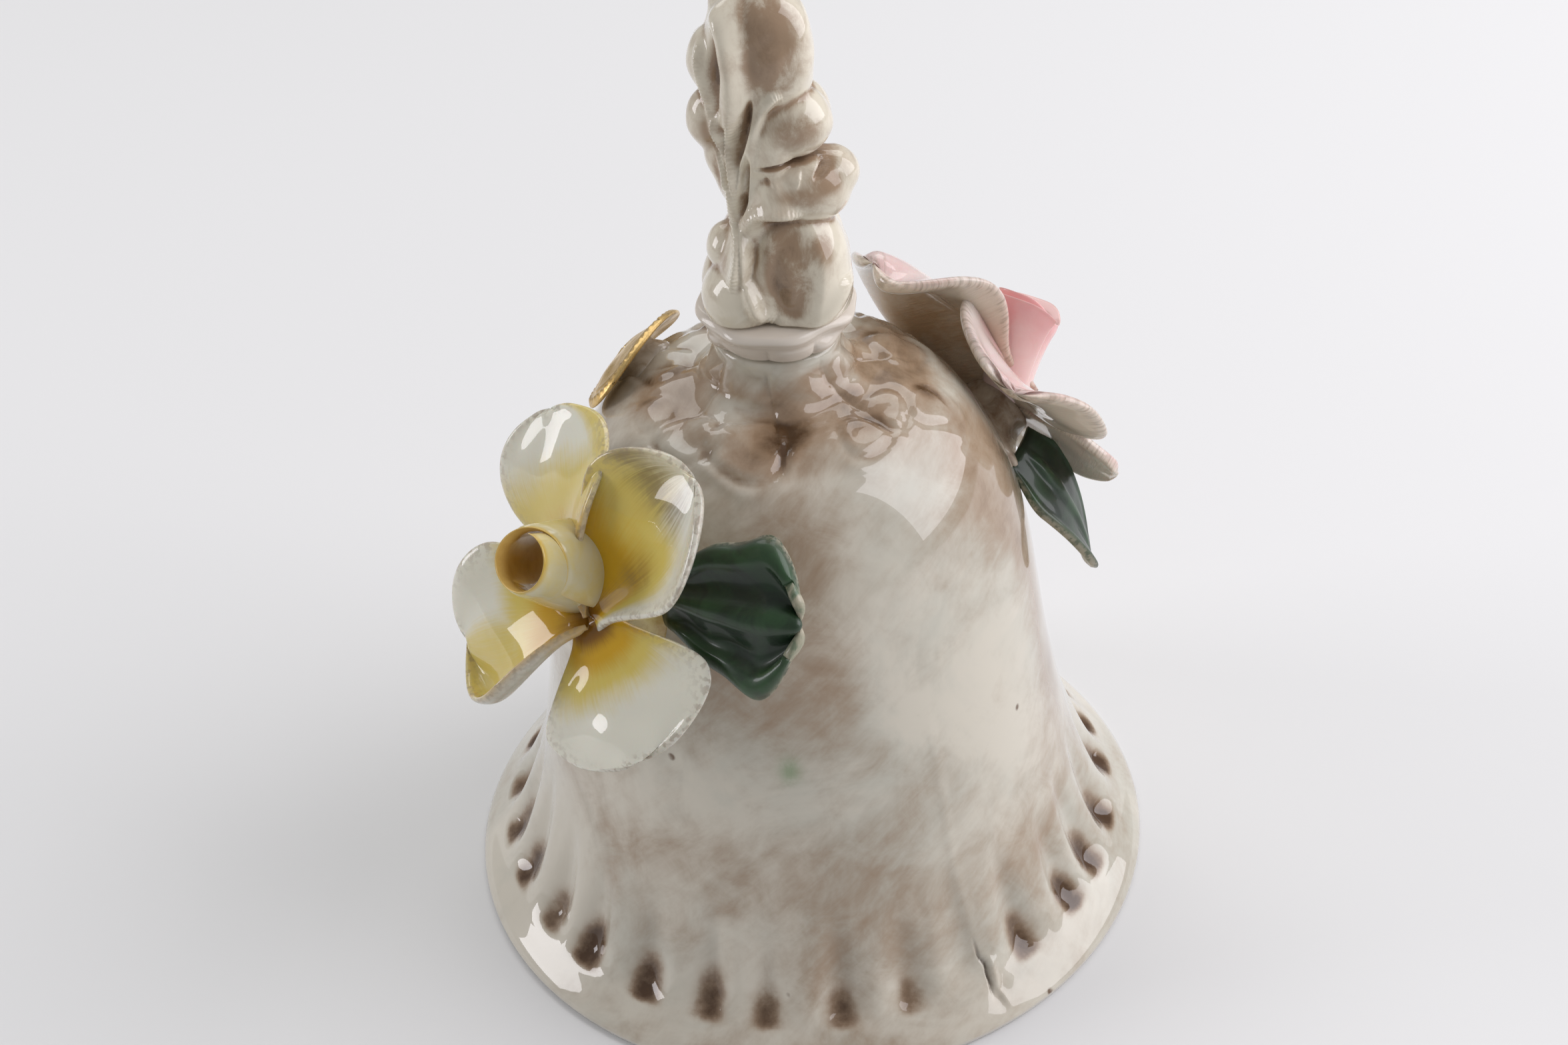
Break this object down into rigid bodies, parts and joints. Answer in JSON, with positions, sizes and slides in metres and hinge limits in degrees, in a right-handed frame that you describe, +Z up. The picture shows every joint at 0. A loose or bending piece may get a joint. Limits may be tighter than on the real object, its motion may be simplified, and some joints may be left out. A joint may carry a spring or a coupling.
{
  "type": "porcelain hand bell",
  "caption": "Glazed porcelain hand bell with scroll handle, applied frangipani flowers and leaves, pressed skirt rim and a hung clapper.",
  "frame": {"origin": "middle of the circle that the rim stands on", "axes": "+Z up through the handle; the yellow flower is on the -X -Y side, the pink one on the +X +Y side"},
  "size_m": [0.09, 0.09, 0.1225],
  "materials": {
    "body_glaze": "clear gloss glaze over brushed umber wash",
    "handle_glaze": "clear gloss glaze, umber pooled in the hollows",
    "yellow_petal": "white clay airbrushed golden in the throat, gloss glaze",
    "pink_petal": "ivory clay airbrushed rose inside, gloss glaze",
    "leaf": "dark green glaze, bare ivory edge",
    "gilt": "worn gilt",
    "plaster": "matt plaster",
    "steel_wire": "dull drawn wire",
    "brass_wire": "drawn brass",
    "bead_glaze": "gloss glaze"
  },
  "bodies": {
    "bell": {"bell_body": "body_glaze", "handle_collar": "handle_glaze", "handle": "handle_glaze", "yellow_petal_top": "yellow_petal", "yellow_petal_right": "yellow_petal", "yellow_petal_bottom": "yellow_petal", "yellow_petal_left": "yellow_petal", "yellow_bud": "yellow_petal", "yellow_flower_base": "yellow_petal", "yellow_leaf_right": "leaf", "yellow_leaf_left": "leaf", "pink_petal_inner": "pink_petal", "pink_petal_front": "pink_petal", "pink_petal_outer": "pink_petal", "pink_petal_rear": "pink_petal", "pink_bud": "pink_petal", "pink_flower_base": "pink_petal", "pink_leaf_front": "leaf", "pink_leaf_rear": "leaf", "gilt_plaque": "gilt", "plaque_pad": "body_glaze", "crown_plug": "plaster", "hanger_staple": "steel_wire"},
    "link": {"link_ring": "brass_wire"},
    "clapper": {"clapper_wire": "steel_wire"},
    "bead": {"clapper_bead": "bead_glaze"}
  },
  "joints": [
    {"name": "ring_turn", "type": "hinge", "parent": "bell", "child": "link", "pos_m": [0, 0, 0.0591], "axis": [0, 0, 1], "range_deg": [-42, 42]},
    {"name": "clapper_swing", "type": "hinge", "parent": "link", "child": "clapper", "pos_m": [0, 0, 0.0543], "axis": [0, 1, 0], "range_deg": [-40, 40]},
    {"name": "bead_spin", "type": "hinge", "parent": "clapper", "child": "bead", "pos_m": [0, 0, 0.02], "axis": [0, 0, 1], "continuous": true}
  ]
}
